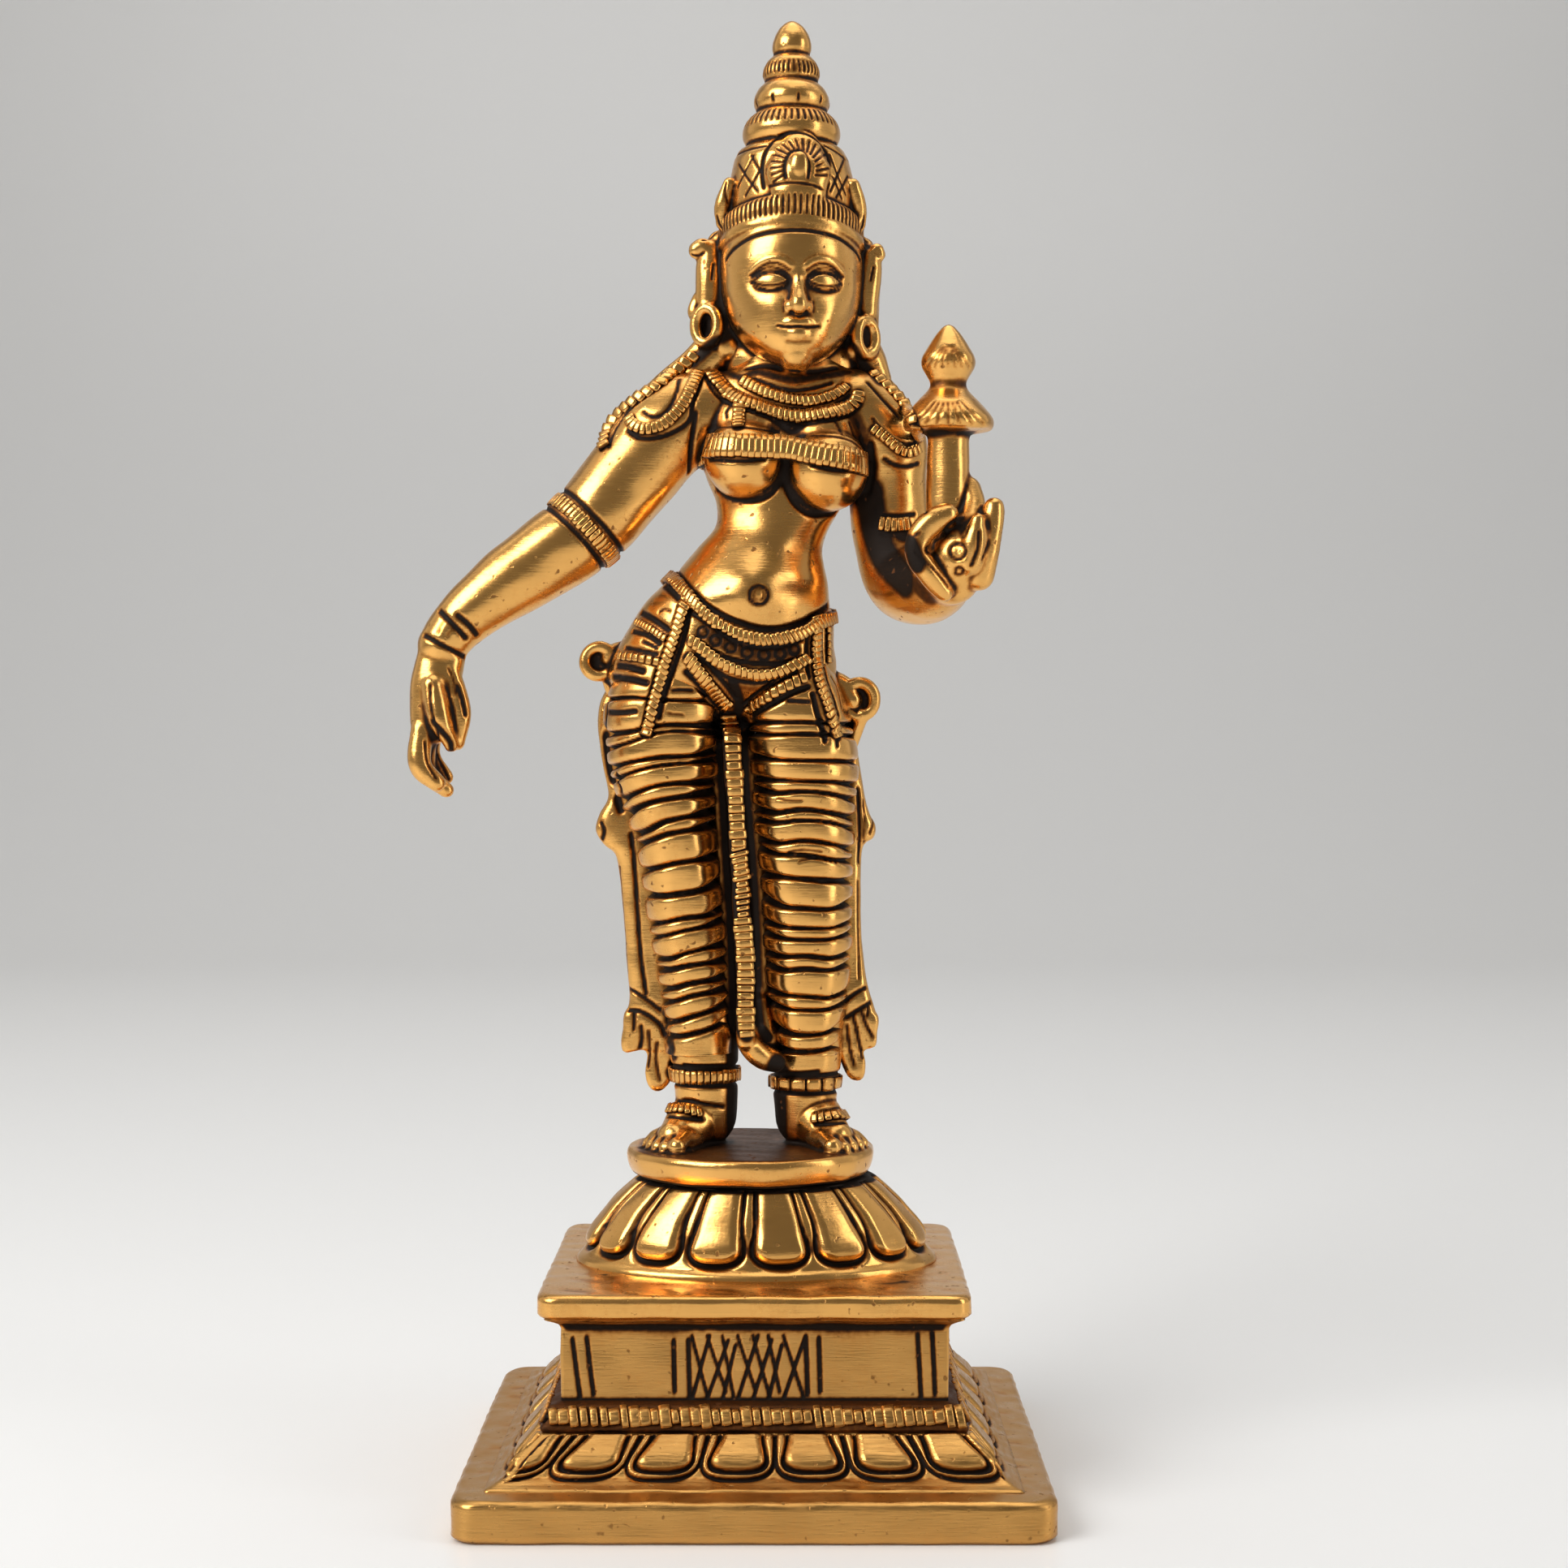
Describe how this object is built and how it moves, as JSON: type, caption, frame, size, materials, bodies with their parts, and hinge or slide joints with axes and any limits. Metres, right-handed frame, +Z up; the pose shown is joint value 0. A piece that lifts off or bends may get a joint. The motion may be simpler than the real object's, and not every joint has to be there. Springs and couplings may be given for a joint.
{
  "type": "lakshmi figure",
  "caption": "Cast brass figure of a standing goddess with a tall tiered crown, pleated skirt and a raised lotus bud, on a stepped pedestal with a lotus dome.",
  "frame": {"origin": "middle of the pedestal's flat underside", "axes": "+Z up along the figure, -Y out of its front, +X to its own left, where it holds the lotus bud"},
  "size_m": [0.1308, 0.1074, 0.3045],
  "materials": {
    "antique_brass": "polished on the high forms, with a dark brown patina left in every recess"
  },
  "bodies": {
    "root": {"figure": "antique_brass", "pedestal": "antique_brass"}
  },
  "joints": []
}
